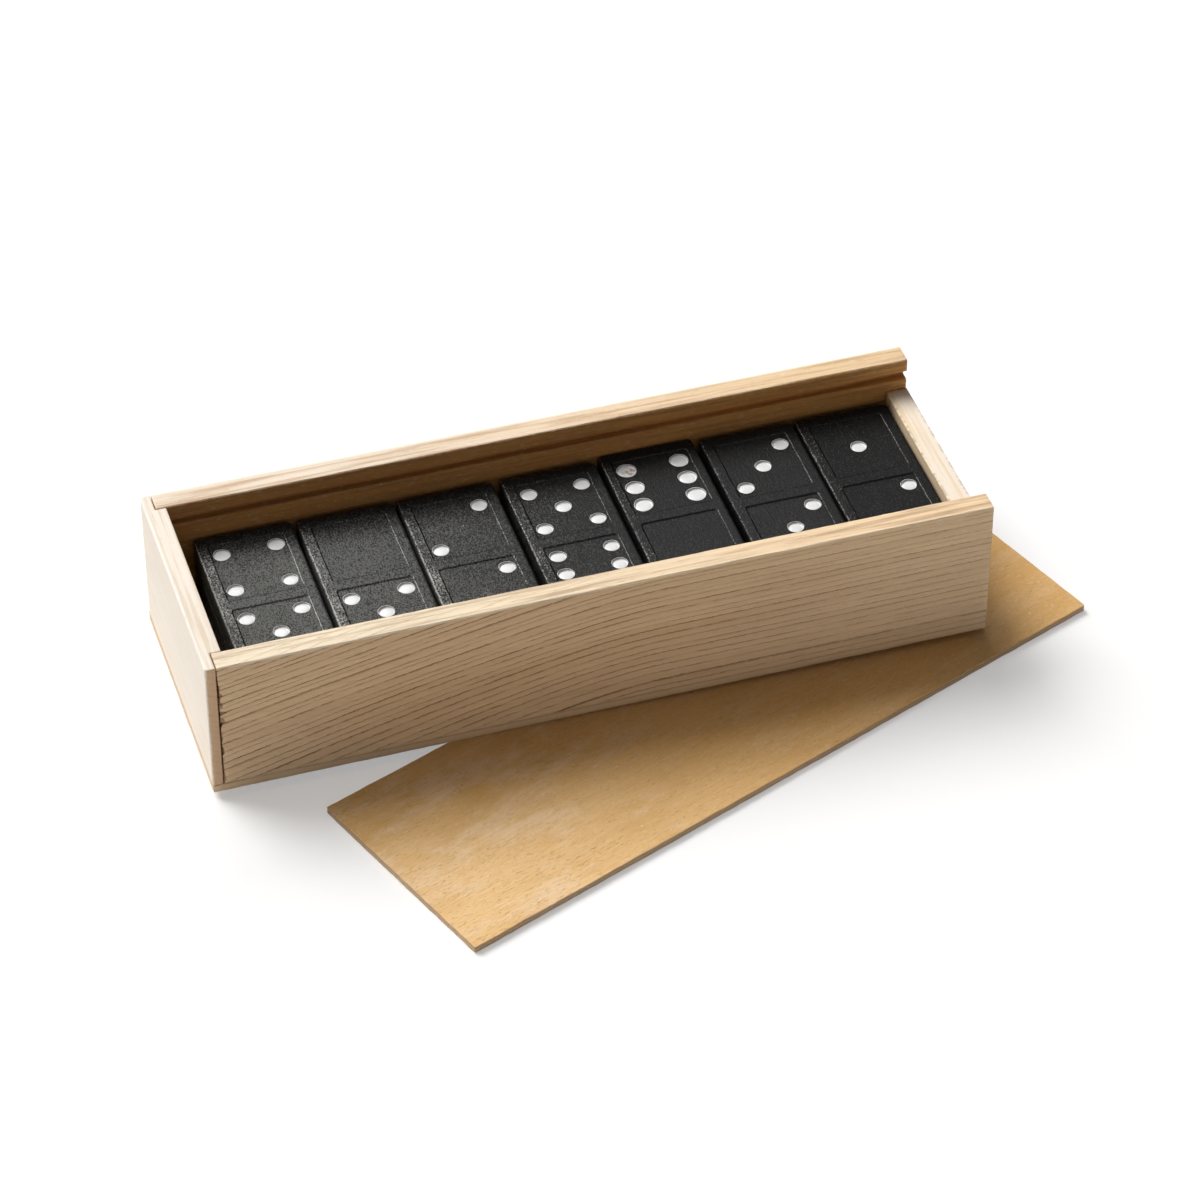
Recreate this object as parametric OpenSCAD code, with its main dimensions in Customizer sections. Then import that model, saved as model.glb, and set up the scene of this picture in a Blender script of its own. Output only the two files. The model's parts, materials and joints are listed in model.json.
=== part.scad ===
// Domino storage box: a rabbeted wooden box with lid grooves, its thin sliding lid and a
// double-six set of wooden dominoes stacked four deep.
//
// The lid is drawn out of its grooves and lies flat on the table. The full box stands
// partly on it, so the box leans a little over the lid's long rear edge.

/* [Dominoes] */
// Length of a domino, across the box
tile_l = 40; // [30:0.5:56]
// Width of a domino, along the box
tile_w = 19.1; // [15:0.1:27]
// Thickness of a domino
tile_t = 4.9; // [3.5:0.1:8]
// Radius of a domino's four upright corners
tile_corner_r = 0.7; // [0.3:0.1:2]
// Radius of the eased arrises round a domino's two faces
tile_arris = 0.4; // [0.1:0.05:0.6]
// Plain border along a domino's long sides
side_border = 2.3; // [1:0.1:3]
// Plain border across a domino's ends
end_border = 2.6; // [1:0.1:4]
// Width of the bar between a domino's halves
bar_w = 2.5; // [1:0.1:4]
// Depth of the pressed panel in each half
panel_depth = 0.25; // [0.1:0.05:0.6]
// Radius of a panel's corners
panel_corner_r = 0.6; // [0.3:0.1:2]
// Diameter of a pip at its mouth
pip_d = 3.3; // [2:0.1:3.6]
// Diameter of a pip at its floor
pip_floor_d = 2.6; // [1.2:0.1:3]
// Depth of a pip below its panel
pip_depth = 0.55; // [0.2:0.05:1]
// Plain floor between the outer pips and the nearer sides of their panel
pip_rim = 0.4; // [0.1:0.05:2]
// How much wider the pips are on the one domino that was drilled with a larger bit
wide_pip_extra = 0.6; // [0:0.1:0.7]

/* [Room for the dominoes] */
// Space left between the high end and the first domino
left_room = 4.1; // [0.3:0.1:8]
// Space left between the last domino and the low end
right_room = 0.3; // [0.2:0.1:8]
// Space left across the box, past the dominoes' ends
cross_room = 1.6; // [1.2:0.1:4]
// Space between the top of the stacks and the closed lid
head_room = 3.6; // [0.5:0.1:10]
// Air between one domino and what it lies on
stack_gap = 0.05; // [0.02:0.01:0.2]

/* [Boards] */
// Thickness of the long side boards
side_t = 4.4; // [3.6:0.1:8]
// Thickness of the high end board, at the left
high_end_t = 4.1; // [3.2:0.1:8]
// Thickness of the lip that covers the ends of the side boards
rabbet_lip = 2; // [1.2:0.1:2.6]
// Thickness of the low end board, at the right
low_end_t = 4.3; // [3:0.1:8]
// How far the low end board stops below the lid's groove
low_end_drop = 2.1; // [0.3:0.1:8]
// Thickness of the bottom panel
bottom_t = 1.75; // [1.2:0.05:4]
// Radius of the eased edges of the boards
edge_r = 0.3; // [0.2:0.1:0.8]

/* [Lid] */
// Thickness of the lid
lid_t = 1.5; // [1:0.1:3]
// Play above the lid in its grooves
lid_play = 0.35; // [0.15:0.05:1]
// Depth of the lid's grooves in the side boards
groove_depth = 1.8; // [1:0.1:2.6]
// Gap between the edge of the lid and the bottom of its groove, on each side
lid_side_gap = 0.3; // [0.1:0.05:0.8]
// Height of board left above the lid's grooves
groove_lip = 2.8; // [1.5:0.1:6]
// How far the closed lid stands out past the low end, to be pushed
lid_overhang = 0.6; // [0:0.1:10]
// Radius of the lid's corners
lid_corner_r = 0.8; // [0.2:0.1:5]

/* [Where the lid lies] */
// Turn of the lid on the table, away from the length of the box
lid_yaw = 21.1; // [5:0.1:40]
// Middle of the lid to the right of the middle of the box
lid_x = 19.7; // [0:0.1:40]
// Middle of the lid in front of the middle of the box
lid_y = 29.2; // [22:0.1:36]
// Air between the box and the lid's edge that it leans on
lean_gap = 0.02; // [0.01:0.01:0.1]

/* [Hidden] */
$fn = 48;
// Length by which a cutter runs past the surface that it cuts
cut = 1;

// Each tile is [pips on its rear half, pips on its front half]
TOP_ROW = [[4, 5], [0, 5], [2, 2], [5, 6], [6, 0], [3, 3], [1, 2]];
// Spaces to the right of the tiles in each column, as they have settled
COLUMN_GAPS = [0.6, 0.3, 1.1, 0.6, 0.8, 0.1];
// How far the columns have slid back from the front board
COLUMN_SLIDES = [0.6, 0.1, 0.1, 0.15, 1.3, 0.1, 0.15];
MOST_PIPS = 6;
WIDE_PIP_TILE = [6, 0];
layers = 4;
columns = len(TOP_ROW);

function total(list, last) = last < 0 ? 0 : list[last] + total(list, last - 1);
function same_tile(a, b) = a == b || a == [b[1], b[0]];
function in_top_row(t) = len([for (other = TOP_ROW) if (same_tile(t, other)) t]) > 0;

// The whole set, without the top row, fills the lower layers from the bottom left up
lower_tiles = [
    for (high = [0 : MOST_PIPS])
        for (low = [0 : high])
            if (!in_top_row([high, low])) [high, low]
];
tiles = concat(lower_tiles, TOP_ROW);
function tile_name(t) = str("tile_", t[0], "_", t[1]);

// Inside of the box
column_pitch = [for (gap = concat([0], COLUMN_GAPS)) tile_w + gap];
row_l = columns * tile_w + total(COLUMN_GAPS, columns - 2);
inner_l = left_room + row_l + right_room;
inner_w = tile_l + cross_room;
layer_h = tile_t + stack_gap;

// Outside of the box
box_l = high_end_t + inner_l + low_end_t;
box_w = inner_w + 2 * side_t;
groove_z = bottom_t + layers * layer_h + head_room;
groove_h = lid_t + lid_play;
box_h = groove_z + groove_h + groove_lip;
wall_h = box_h - bottom_t;
low_end_h = groove_z - low_end_drop - bottom_t;
high_end_inside = -box_l / 2 + high_end_t;

// The lid fills the way from the high end to the low one, and both grooves
lid_l = inner_l + low_end_t + lid_overhang;
lid_w = inner_w + 2 * (groove_depth - lid_side_gap);

// Tile panels and pips, from the middle of a tile
panel_w = tile_w - 2 * side_border;
panel_l = tile_l / 2 - end_border - bar_w / 2;
panel_y = bar_w / 2 + panel_l / 2;
pip_step = min(panel_w, panel_l) / 2 - pip_d / 2 - pip_rim;

// The box stands on its rear left lower corner and on the lid's rear edge, which runs
// along lean_axis. lean_reach is how far that edge is from the corner, on the table.
lean_axis = [cos(lid_yaw), sin(lid_yaw), 0];
lid_across = [-sin(lid_yaw), cos(lid_yaw), 0];
lid_middle = [lid_x, -lid_y, 0];
lean_corner = [-box_l / 2, box_w / 2, 0];
lean_reach = (lean_corner - lid_middle) * lid_across - lid_w / 2;
lean = atan((lid_t + lean_gap) / lean_reach);

// Where a point of the straight box goes when the box leans: a turn about lean_axis
function leaned(p) =
    let (d = p - lean_corner)
    lean_corner + d * cos(lean) - cross(lean_axis, d) * sin(lean)
        + lean_axis * (lean_axis * d) * (1 - cos(lean));

// The origin is the middle of the footprint of the box and the lid, on the table
lid_half_x = (lid_l / 2 - lid_corner_r) * cos(lid_yaw)
    + (lid_w / 2 - lid_corner_r) * sin(lid_yaw) + lid_corner_r;
lid_half_y = (lid_l / 2 - lid_corner_r) * sin(lid_yaw)
    + (lid_w / 2 - lid_corner_r) * cos(lid_yaw) + lid_corner_r;
box_corners = [
    for (x = [-1, 1], y = [-1, 1], z = [0, 1]) leaned([x * box_l / 2, y * box_w / 2, z * box_h])
];
reach_x = concat([for (p = box_corners) p[0]], [lid_x - lid_half_x, lid_x + lid_half_x]);
reach_y = concat([for (p = box_corners) p[1]], [-lid_y - lid_half_y, -lid_y + lid_half_y]);
footprint_middle = [(min(reach_x) + max(reach_x)) / 2, (min(reach_y) + max(reach_y)) / 2, 0];

// Puts what is drawn straight, from the middle of the underside of the box, in its leaning place
module in_leaning_box() {
    translate(lean_corner - footprint_middle)
        rotate(-lean, lean_axis)
            translate(-lean_corner)
                children();
}

// A flat outline of size [x, y], centred, with rounded corners
module rounded_outline(size, r) {
    square([size[0] - 2 * r, size[1]], center = true);
    square([size[0], size[1] - 2 * r], center = true);
    for (x = [-1, 1], y = [-1, 1])
        translate([x * (size[0] / 2 - r), y * (size[1] / 2 - r)])
            circle(r);
}

// The section of a board, from its lower left corner, with its two upper edges eased
module eased_section(thickness, height) {
    square([thickness, height - edge_r]);
    translate([edge_r, 0])
        square([thickness - 2 * edge_r, height]);
    for (x = [edge_r, thickness - edge_r])
        translate([x, height - edge_r])
            circle(edge_r);
}

// Runs a section drawn in Y and Z along X
module along_x(length) {
    rotate([90, 0, 90])
        linear_extrude(length)
            children();
}

// The thin panel glued under the four boards
module bottom_panel() {
    color("#d8b98c")
        linear_extrude(bottom_t)
            rounded_outline([box_l, box_w], edge_r);
}

// A long side board, from the rabbet of the high end to the open end, grooved for the lid
module side_board() {
    translate([-box_l / 2 + rabbet_lip, -box_w / 2, bottom_t])
        along_x(box_l - rabbet_lip)
            difference() {
                eased_section(side_t, wall_h);
                translate([side_t - groove_depth, groove_z - bottom_t])
                    square([groove_depth + cut, groove_h]);
            }
}

module front_side() {
    color("#d9b685")
        side_board();
}

module back_side() {
    color("#d9b685")
        mirror([0, 1, 0])
            side_board();
}

// The full-height end board. Its two rabbets take the ends of the side boards.
module high_end() {
    color("#efdcb8")
        translate([-box_l / 2, 0, bottom_t])
            linear_extrude(wall_h)
                difference() {
                    translate([high_end_t / 2 + edge_r / 2, 0])
                        rounded_outline([high_end_t + edge_r, box_w], edge_r);
                    translate([high_end_t, -box_w / 2 - cut])
                        square([edge_r + cut, box_w + 2 * cut]);
                    for (y = [-box_w / 2 - cut, inner_w / 2])
                        translate([rabbet_lip, y])
                            square([high_end_t + cut, side_t + cut]);
                }
}

// The lower end board, between the side boards, which the lid passes over
module low_end() {
    color("#efdcb8")
        translate([box_l / 2, -inner_w / 2, bottom_t])
            mirror([1, 0, 0])
                translate([0, inner_w, 0])
                    rotate([90, 0, 0])
                        linear_extrude(inner_w)
                            eased_section(low_end_t, low_end_h);
}

// The thin lid, flat on the table, partly under the box
module lid() {
    color("#c99a5b")
        translate(lid_middle - footprint_middle)
            rotate(lid_yaw)
                linear_extrude(lid_t)
                    rounded_outline([lid_l, lid_w], lid_corner_r);
}

// Centres of the pips of one half, in steps from its middle: the diagonal from right
// rear to left front first, then the other one, the two beside the middle, the middle
function pip_places(count) = [
    if (count > 1) for (s = [-1, 1]) [s, s],
    if (count > 3) for (s = [-1, 1]) [s, -s],
    if (count == 6) for (s = [-1, 1]) [s, 0],
    if (count % 2 == 1) [0, 0]
];

// The pressed panel of one half with its pips, as a cutter from the top face down
module half_cutter(count, extra) {
    translate([0, 0, -panel_depth])
        linear_extrude(panel_depth + cut)
            rounded_outline([panel_w, panel_l], panel_corner_r);
    for (place = pip_places(count))
        translate([place[0] * pip_step, place[1] * pip_step, -panel_depth - pip_depth])
            cylinder(h = pip_depth, d1 = pip_floor_d + extra, d2 = pip_d + extra);
}

// The section of a domino, from the middle of its underside, with its four arrises eased
module tile_section(width) {
    translate([0, tile_t / 2])
        rounded_outline([width, tile_t], tile_arris);
}

// A plain domino: its plan, cut to the section along it and to the one across it
module tile_blank() {
    intersection() {
        translate([0, 0, -cut])
            linear_extrude(tile_t + 2 * cut)
                rounded_outline([tile_w, tile_l], tile_corner_r);
        rotate([90, 0, 0])
            linear_extrude(tile_l + 2 * cut, center = true)
                tile_section(tile_w);
        rotate([90, 0, 90])
            linear_extrude(tile_w + 2 * cut, center = true)
                tile_section(tile_l);
    }
}

// A domino lying face up, from the middle of its underside
module tile(pips) {
    color("#1c1d20")
        difference() {
            tile_blank();
            for (half = [0, 1])
                translate([0, half == 0 ? panel_y : -panel_y, tile_t])
                    half_cutter(pips[half], pips == WIDE_PIP_TILE ? wide_pip_extra : 0);
        }
}

// A domino in its column and layer, counted from the bottom left
module stacked_tile(index) {
    column = index % columns;
    layer = floor(index / columns);
    translate([
        high_end_inside + left_room + total(column_pitch, column) - tile_w / 2,
        -inner_w / 2 + COLUMN_SLIDES[column] + tile_l / 2,
        bottom_t + stack_gap + layer * layer_h
    ])
        tile(tiles[index]);
}

in_leaning_box() bottom_panel();
in_leaning_box() front_side();
in_leaning_box() back_side();
in_leaning_box() high_end();
in_leaning_box() low_end();
lid();
for (i = [0 : len(tiles) - 1])
    in_leaning_box() stacked_tile(i);
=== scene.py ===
"""Looks of an open wooden domino box: five glued boards, a thin loose lid and 28 black dominoes.

Sizes are in metres. The box leans a little over the lid, so each piece is drawn in the straight
frame of the box, or of the lid, and its mesh is then laid in its place in the row frame.
"""

import json
import logging
import math
from dataclasses import dataclass
from enum import Enum
from typing import NamedTuple, Sequence

import bmesh
import bpy
import numpy as np
from bpy.types import ID, Material, Mesh, Node, NodeSocket, NodeTree, Object
from mathutils import Euler, Matrix, Vector
from mathutils.geometry import delaunay_2d_cdt


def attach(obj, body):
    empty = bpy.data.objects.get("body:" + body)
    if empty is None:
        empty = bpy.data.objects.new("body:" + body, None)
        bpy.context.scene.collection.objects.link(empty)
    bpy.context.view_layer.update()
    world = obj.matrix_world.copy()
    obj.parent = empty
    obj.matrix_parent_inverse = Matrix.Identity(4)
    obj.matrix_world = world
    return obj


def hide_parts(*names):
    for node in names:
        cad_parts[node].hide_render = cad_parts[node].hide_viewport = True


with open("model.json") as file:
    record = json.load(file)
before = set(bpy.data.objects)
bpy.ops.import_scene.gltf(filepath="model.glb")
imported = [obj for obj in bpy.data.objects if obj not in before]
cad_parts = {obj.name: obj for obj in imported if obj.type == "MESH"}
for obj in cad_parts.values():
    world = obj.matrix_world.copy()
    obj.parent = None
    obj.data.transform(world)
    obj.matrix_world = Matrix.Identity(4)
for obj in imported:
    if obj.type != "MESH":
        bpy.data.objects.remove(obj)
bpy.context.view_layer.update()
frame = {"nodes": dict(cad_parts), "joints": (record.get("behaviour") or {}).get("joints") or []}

LOG = logging.getLogger("domino_box")
MM = 0.001
Colour = tuple[float, float, float]
Outline = tuple[np.ndarray, np.ndarray]
Shares = float | np.ndarray
Ring = list[bmesh.types.BMVert]


class Grain(Enum):
    """The way the wood's fibres run in a board, in the straight frame of its piece."""

    ALONG_X = "x"
    ALONG_Y = "y"


class Half(Enum):
    """The two halves of a domino, and the side of its middle that each one is on."""

    REAR = 1
    FRONT = -1


# Places


@dataclass(frozen=True)
class Place:
    """A straight frame: its own point p lies at turn @ p + origin in the row frame."""

    turn: Matrix
    origin: Vector

    @classmethod
    def under(cls, node: str, turn: Matrix) -> "Place":
        """A turned frame whose origin is the middle of a CAD node's underside."""
        return cls(turn, turn @ cls(turn, Vector()).seat_of(node))

    def matrix(self) -> Matrix:
        """The local frame as a 4 x 4 matrix."""
        return Matrix.Translation(self.origin) @ self.turn.to_4x4()

    def to_row(self, points: np.ndarray) -> np.ndarray:
        """Local points, one a row, in the row frame."""
        return points @ np.array(self.turn).T + np.array(self.origin)

    def box_of(self, node: str) -> tuple[Vector, Vector]:
        """Measures a CAD node.

        Args:
            node: the node's name.
        Returns:
            Its lowest and highest local corners.
        """
        mesh = frame["nodes"][node].data
        points = np.zeros(len(mesh.vertices) * 3, np.float32)
        mesh.vertices.foreach_get("co", points)
        points = points.reshape(-1, 3).astype(float) - np.array(self.origin)
        local = points @ np.array(self.turn)
        return Vector(local.min(0)), Vector(local.max(0))

    def seat_of(self, node: str) -> Vector:
        """The local middle of a CAD node's underside."""
        low, high = self.box_of(node)
        return Vector(((low.x + high.x) / 2, (low.y + high.y) / 2, low.z))

    def wood_coordinates(self, g: "Graph", grain: Grain) -> "Value":
        """Object coordinates, put straight and turned so that the fibres run along X.

        Args:
            g: the material's graph.
            grain: the way the fibres run.
        Returns:
            The coordinates.
        """
        turn = self.turn.transposed()
        if grain is Grain.ALONG_Y:
            turn = Matrix.Rotation(-math.pi / 2, 3, "Z") @ turn
        object_at = g.value("ShaderNodeTexCoord", output="Object")
        inputs = {"Location": tuple(-(turn @ self.origin)), "Rotation": tuple(turn.to_euler("XYZ"))}
        return g.value("ShaderNodeMapping", {"Vector": object_at, **inputs})


def joint_axis(name: str) -> Vector:
    """The axis of a joint of the frame, in the row frame."""
    return Vector(next(j["axis"] for j in frame["joints"] if j["name"] == name)).normalized()


def box_place() -> Place:
    """The leaning box's own frame, with X towards its low end."""
    turn = Vector((0, 0, 1)).rotation_difference(joint_axis("lift_tile_0_0")).to_matrix()
    return Place.under("bottom_panel", turn)


def lid_place() -> Place:
    """The lid's own frame, with X along its long edges."""
    across = joint_axis("lid_draw_out")
    return Place.under("lid", Matrix.Rotation(math.atan2(across.x, -across.y), 3, "Z"))


# Node trees


class Value:
    """A socket of a graph that works like a number: each operator adds its Math node."""

    def __init__(self, graph: "Graph", socket: NodeSocket) -> None:
        """Args: graph: the graph of its tree. socket: the socket."""
        self.graph, self.socket = graph, socket

    def __add__(self, other: object) -> "Value":
        """The sum."""
        return self.graph.math("ADD", self, other)

    def __sub__(self, other: object) -> "Value":
        """The difference."""
        return self.graph.math("SUBTRACT", self, other)

    def __rsub__(self, other: object) -> "Value":
        """The difference from a plain number."""
        return self.graph.math("SUBTRACT", other, self)

    def __mul__(self, other: object) -> "Value":
        """The product."""
        return self.graph.math("MULTIPLY", self, other)

    def __truediv__(self, other: object) -> "Value":
        """The quotient."""
        return self.graph.math("DIVIDE", self, other)


class Graph:
    """Adds nodes to a shader or geometry tree and links them as they are made."""

    def __init__(self, tree: NodeTree) -> None:
        """Args: tree: the tree that the nodes go in."""
        self.tree = tree

    def feed(self, node: Node, inputs: dict) -> None:
        """Sets or links a node's inputs.

        Args:
            node: the node.
            inputs: plain values, or values of the graph, by input name or index.
        """
        for key, value in inputs.items():
            if isinstance(value, Value):
                self.tree.links.new(value.socket, node.inputs[key])
            else:
                node.inputs[key].default_value = value

    def add(self, kind: str, inputs: dict | None = None, **settings: object) -> Node:
        """Adds one node.

        Args:
            kind: the node's type name.
            inputs: what its inputs get.
            settings: properties of the node, set first.
        Returns:
            The new node.
        """
        node = self.tree.nodes.new(kind)
        for name, value in settings.items():
            setattr(node, name, value)
        self.feed(node, inputs or {})
        return node

    def outputs(self, node: Node) -> dict[str, Value]:
        """A node's outputs by name."""
        return {socket.name: Value(self, socket) for socket in node.outputs if socket.name}

    def value(
        self, kind: str, inputs: dict | None = None, output: str | int = 0, **settings: object
    ) -> Value:
        """Adds one node for one of its outputs, with the arguments of add."""
        return Value(self, self.add(kind, inputs, **settings).outputs[output])

    def math(self, operation: str, *values: object, clamp: bool = False) -> Value:
        """A Math node, or a Vector Math node where the first value is a vector.

        Args:
            operation: the node's operation.
            values: what it works on.
            clamp: whether a number stays in 0..1.
        Returns:
            The result.
        """
        inputs = dict(enumerate(values))
        if isinstance(values[0], Value) and values[0].socket.type == "VECTOR":
            return self.value("ShaderNodeVectorMath", inputs, operation=operation)
        return self.value("ShaderNodeMath", inputs, operation=operation, use_clamp=clamp)

    def length(self, vector: Value) -> Value:
        """The length of a vector."""
        return self.value("ShaderNodeVectorMath", {0: vector}, "Value", operation="LENGTH")

    def split(self, vector: Value) -> tuple[Value, Value, Value]:
        """The three parts of a vector."""
        return tuple(self.outputs(self.add("ShaderNodeSeparateXYZ", {0: vector})).values())

    def smooth(self, value: Value, low: object, high: object) -> Value:
        """Eases value from 0 at low to 1 at high."""
        inputs = {"Value": value, "From Min": low, "From Max": high}
        return self.value("ShaderNodeMapRange", inputs, interpolation_type="SMOOTHSTEP")

    def fit(self, value: Value, low: float, high: float) -> Value:
        """Moves value from 0..1 to low..high."""
        return self.value("ShaderNodeMapRange", {"Value": value, "To Min": low, "To Max": high})

    def noise(
        self, at: Value, scale: float | Colour, detail: float = 2.0, rough: float = 0.5
    ) -> Value:
        """A noise texture's value, about 0.5 in the mean.

        Args:
            at: where it is read.
            scale: its scale, the same all ways or by axis.
            detail: its octaves.
            rough: the share of the finer octaves.
        Returns:
            The value.
        """
        if isinstance(scale, tuple):
            at, scale = at * scale, 1.0
        inputs = {"Vector": at, "Scale": scale, "Detail": detail, "Roughness": rough}
        return self.value("ShaderNodeTexNoise", inputs, "Fac")

    def attribute(self, name: str) -> Value:
        """A number that the mesh carries."""
        return self.value("ShaderNodeAttribute", output="Fac", attribute_name=name)

    def layers(self, colour: Value | Colour, *coats: tuple[Value, Value | Colour]) -> Value:
        """Lays colours over one another.

        Args:
            colour: the colour at the bottom.
            coats: how far each coat covers what is under it, and its colour.
        Returns:
            The colour that shows.
        """
        for share, coat in coats:
            a, b = ((*c, 1.0) if isinstance(c, tuple) else c for c in (colour, coat))
            colour = self.value("ShaderNodeMix", {0: share, 6: a, 7: b}, 2, data_type="RGBA")
        return colour

    def group(self, tree: NodeTree, **inputs: object) -> dict[str, Value]:
        """A shader group's outputs; its inputs' names are written with _ for a space."""
        named = {name.replace("_", " "): value for name, value in inputs.items()}
        return self.outputs(self.add("ShaderNodeGroup", named, node_tree=tree))

    def seen(self, *more: str) -> Value:
        """1 for rays from the camera, off a glossy surface or of the kinds in more.

        Args:
            more: further outputs of the Light Path node.
        Returns:
            The value, else 0.
        """
        path = self.outputs(self.add("ShaderNodeLightPath"))
        seen = path["Is Camera Ray"]
        for ray in ("Is Glossy Ray", *more):
            seen = self.math("ADD", seen, path[ray], clamp=True)
        return seen

    def dress(
        self, colour: Value, roughness: Value, height: Value, depth: float,
        strength: float = 0.7, gloss: Value | float = 0.5,
    ) -> None:
        """Feeds the material's Principled shader.

        Args:
            colour: its colour.
            roughness: its roughness.
            height: the relief of its surface, from about 0 to 1.
            depth: how deep the relief goes.
            strength: how much of the relief shows.
            gloss: its specular level.
        """
        relief = {"Height": height, "Strength": strength, "Distance": depth}
        normal = self.value("ShaderNodeBump", relief)
        inputs = {"Base Color": colour, "Roughness": roughness, "Normal": normal}
        shader = self.tree.nodes["Principled BSDF"]
        self.feed(shader, {**inputs, "Specular IOR Level": gloss})


def new_material(name: str) -> tuple[Material, Graph]:
    """Makes a material.

    Args:
        name: its name.
    Returns:
        The material, with its Principled shader, and its graph.
    """
    material = bpy.data.materials.new(name)
    material.use_nodes = True
    return material, Graph(material.node_tree)


class Streak(NamedTuple):
    """Marks along the fibres, in millimetres, that show where a noise goes from low to high."""

    length: float
    width: float
    low: float
    high: float
    seed: float = 0.0


class Effects:
    """The shared shader groups, each built once."""

    def __init__(self) -> None:
        """Builds every group."""
        self.rings = self._growth_rings()
        self.streaks = self._streaks()
        self.specks = self._specks()
        self.edges = self._edges()

    def streak(self, g: Graph, at: Value, marks: Streak, seed: float = 0.0) -> Value:
        """The mask of marks along the fibres; seed is added to their own seed."""
        return g.group(
            self.streaks, Vector=at, Length=marks.length * MM, Width=marks.width * MM,
            Low=marks.low, High=marks.high, Seed=seed + marks.seed,
        )["Mask"]

    @staticmethod
    def _start(
        name: str, inputs: dict[str, float | Colour], outputs: Sequence[str]
    ) -> tuple[Graph, dict[str, Value], Node]:
        """Starts a shader node group with named sockets.

        Args:
            name: the group's name.
            inputs: the default of each input, a number or a vector.
            outputs: names of the value outputs.
        Returns:
            Its graph, its inputs by name, and its output node.
        """
        tree = bpy.data.node_groups.new(name, "ShaderNodeTree")
        for socket, value in inputs.items():
            kind = "NodeSocketVector" if isinstance(value, tuple) else "NodeSocketFloat"
            made = tree.interface.new_socket(socket, in_out="INPUT", socket_type=kind)
            made.default_value = value
        for socket in outputs:
            tree.interface.new_socket(socket, in_out="OUTPUT", socket_type="NodeSocketFloat")
        g = Graph(tree)
        return g, g.outputs(g.add("NodeGroupInput")), g.add("NodeGroupOutput")

    def _growth_rings(self) -> NodeTree:
        """Growth lines around a pith that lies along the wood's X.

        Returns:
            The group. Past Bend From, towards low X, the lines bend away from the pith.
        """
        g, given, result = self._start(
            "Growth rings",
            {
                "Vector": (0, 0, 0), "Spacing": 1.2 * MM, "Pith": (0, 0, 0), "Bend From": 0.0,
                "Bend": 0.0, "Wander": 0.3 * MM, "Fine Wander": 0.08 * MM, "Seed": 0.0,
            },
            ["Late Wood", "Ring Tone"],
        )
        at, seed, knee = given["Vector"], given["Seed"], 0.02
        seeded = at + seed
        slow = g.noise(seeded, (14.0, 80.0, 80.0))
        fine = g.noise(seeded, (1000.0, 1500.0, 1500.0), 3.0, 0.6)
        faint = g.noise(seeded, (130.0, 700.0, 700.0), 3.0, 0.6)
        past = g.math("MAXIMUM", given["Bend From"] - g.split(at)[0], 0.0)
        bent = g.math("SQRT", g.math("MULTIPLY_ADD", past, past, knee * knee)) - knee
        radius = g.length((at - given["Pith"]) * (0, 1, 1)) + bent * given["Bend"]
        for noise, reach in ((slow, "Wander"), (fine, "Fine Wander")):
            radius = radius + g.fit(noise, -1.0, 1.0) * given[reach]
        count = radius / given["Spacing"]
        uneven = g.value(
            "ShaderNodeTexNoise",
            {"W": g.math("MULTIPLY_ADD", count, 0.37, seed), "Scale": 1.0, "Detail": 1.0},
            "Fac",
            noise_dimensions="1D",
        )
        count = count + g.fit(uneven, -0.6, 0.6)
        part = g.math("FRACT", count)
        tone = g.value(
            "ShaderNodeTexWhiteNoise", {"W": g.math("FLOOR", count) + seed}, "Value",
            noise_dimensions="1D",
        )
        line = g.smooth(part, 0.68, 0.9) * (1.0 - g.smooth(part, 0.93, 1.0))
        strength = g.fit(tone, 0.6, 1.0) * g.fit(g.smooth(faint, 0.32, 0.55), 0.3, 1.0)
        dusk = g.math("POWER", part, 2.0) * 0.14
        late = g.math("MAXIMUM", line * strength, dusk)
        g.feed(result, {"Late Wood": late, "Ring Tone": tone})
        return g.tree

    def _streaks(self) -> NodeTree:
        """Streaks along the wood's X: fibres, or pores where only the peaks are kept.

        Returns:
            The group.
        """
        g, given, result = self._start(
            "Streaks",
            {
                "Vector": (0, 0, 0), "Length": 10 * MM, "Width": 0.3 * MM, "Low": 0.3, "High": 0.7,
                "Seed": 0.0,
            },
            ["Mask"],
        )
        wide = given["Width"]
        size = g.value("ShaderNodeCombineXYZ", {"X": given["Length"], "Y": wide, "Z": wide})
        at = given["Vector"] / size + given["Seed"]
        noise = g.noise(at, 1.0, 2.0, 0.55)
        g.feed(result, {"Mask": g.smooth(noise, given["Low"], given["High"])})
        return g.tree

    def _specks(self) -> NodeTree:
        """Small round spots, one in some of the cells.

        Returns:
            The group.
        """
        g, given, result = self._start(
            "Specks",
            {"Vector": (0, 0, 0), "Spacing": 4 * MM, "Size": 0.3 * MM, "Share": 0.5, "Seed": 0.0},
            ["Mask"],
        )
        at = given["Vector"] / given["Spacing"] + given["Seed"]
        cells = g.outputs(g.add("ShaderNodeTexVoronoi", {"Vector": at, "Scale": 1.0}))
        reach = given["Size"] / given["Spacing"]
        near = 1.0 - g.smooth(cells["Distance"], reach * 0.4, reach)
        pick = g.value("ShaderNodeSeparateColor", {0: cells["Color"]}, "Red")
        g.feed(result, {"Mask": near * g.math("LESS_THAN", pick, given["Share"])})
        return g.tree

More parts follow.
